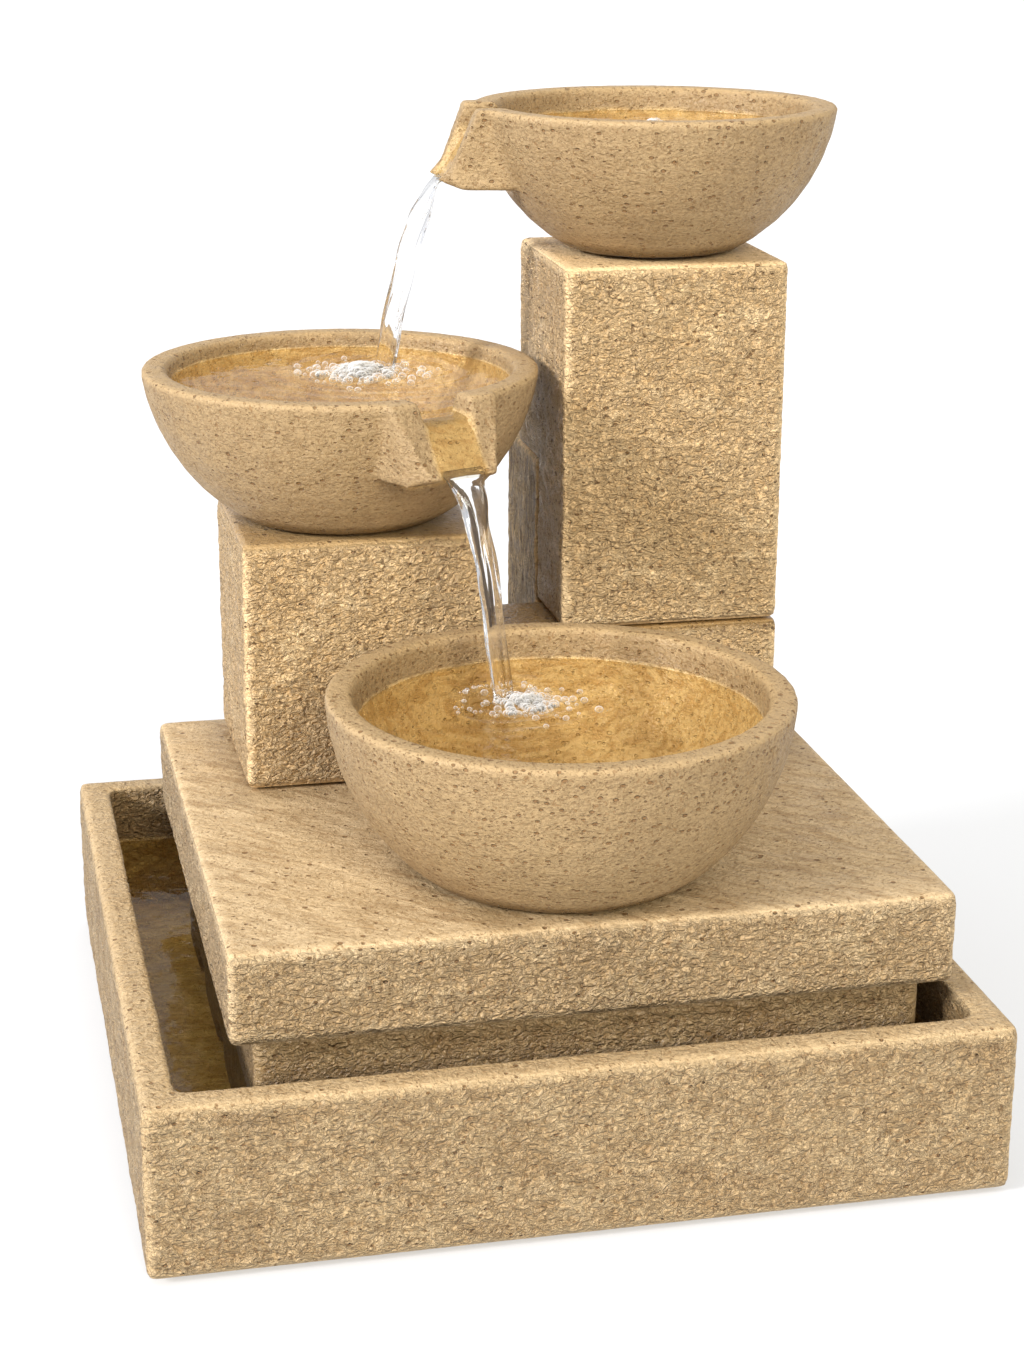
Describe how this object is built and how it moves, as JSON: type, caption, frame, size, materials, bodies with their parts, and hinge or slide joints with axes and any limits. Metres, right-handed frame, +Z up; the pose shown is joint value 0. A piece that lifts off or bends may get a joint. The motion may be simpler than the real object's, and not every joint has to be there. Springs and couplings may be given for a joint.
{
  "type": "tabletop water fountain",
  "caption": "Square-basin tabletop fountain in cast stone, with spouted bowls stepping down from pillars, and its pump, riser hose and fittings inside.",
  "frame": {"origin": "on the table under the middle of the basin", "axes": "+Z up, the front looks along -Y, +X is the object's right as seen from the front"},
  "size_m": [0.3, 0.308, 0.3525],
  "materials": {
    "cast_stone": "rough-cast sandstone resin, smoother on the bowls",
    "cover_stone": "rough-cast",
    "black_rubber": "matt",
    "silicone": "satin",
    "pump_plastic": "satin",
    "grey_plastic": "satin",
    "clear_vinyl": "clear",
    "stainless_steel": "machined",
    "white_ceramic": "polished",
    "magnet": "ferrite"
  },
  "bodies": {
    "basin": {"basin": "cast_stone", "foot_front_left": "black_rubber", "foot_front_right": "black_rubber", "foot_rear_left": "black_rubber", "foot_rear_right": "black_rubber"},
    "tower": {"cord_gland": "black_rubber", "cover_screw_left": "stainless_steel", "cover_screw_right": "stainless_steel", "drain_fitting": "pump_plastic", "drain_gasket": "black_rubber", "drain_nut": "pump_plastic", "hose_clip_lower": "black_rubber", "hose_clip_upper": "black_rubber", "hose_grommet": "black_rubber", "impeller_shaft": "white_ceramic", "inlet_fitting": "pump_plastic", "inlet_gasket": "black_rubber", "inlet_nut": "pump_plastic", "link_block": "cast_stone", "lower_bowl": "cast_stone", "lower_bowl_seat": "silicone", "middle_bolt_nut": "stainless_steel", "middle_bolt_seal": "black_rubber", "middle_bolt_washer": "stainless_steel", "middle_bowl": "cast_stone", "middle_bowl_bolt": "stainless_steel", "middle_bowl_seat": "silicone", "outlet_nozzle": "pump_plastic", "platform_slab": "cast_stone", "plinth_frame": "cast_stone", "pump_body": "pump_plastic", "rear_cover": "cover_stone", "riser_hose": "clear_vinyl", "shaft_bush_front": "black_rubber", "shaft_bush_rear": "black_rubber", "short_pillar": "cast_stone", "suction_cup_front_left": "black_rubber", "suction_cup_front_right": "black_rubber", "suction_cup_rear_left": "black_rubber", "suction_cup_rear_right": "black_rubber", "tall_pillar": "cast_stone", "top_bowl": "cast_stone", "top_bowl_seat": "silicone", "volute_cover": "pump_plastic", "volute_seal": "black_rubber"},
    "rotor": {"impeller_wheel": "grey_plastic", "rotor_magnet": "magnet"},
    "inlet_cover": {"inlet_cover": "pump_plastic"},
    "flow_dial": {"flow_dial": "grey_plastic"},
    "drain_strainer": {"drain_strainer": "grey_plastic"}
  },
  "joints": [
    {"name": "tower_lift", "type": "slide", "parent": "basin", "child": "tower", "axis": [0, 0, 1], "range_m": [0, 0.12]},
    {"name": "impeller_spin", "type": "hinge", "parent": "tower", "child": "rotor", "pos_m": [0.0775, 0.0775, 0.0265], "axis": [1, 0, 0], "continuous": true},
    {"name": "inlet_cover_pull", "type": "slide", "parent": "tower", "child": "inlet_cover", "axis": [-1, 0, 0], "range_m": [0, 0.03]},
    {"name": "flow_dial_turn", "type": "hinge", "parent": "inlet_cover", "child": "flow_dial", "pos_m": [0.0295, 0.0775, 0.0265], "axis": [-1, 0, 0], "range_deg": [0, 90]},
    {"name": "strainer_lift", "type": "slide", "parent": "tower", "child": "drain_strainer", "axis": [0, 0, 1], "range_m": [0, 0.03]}
  ]
}
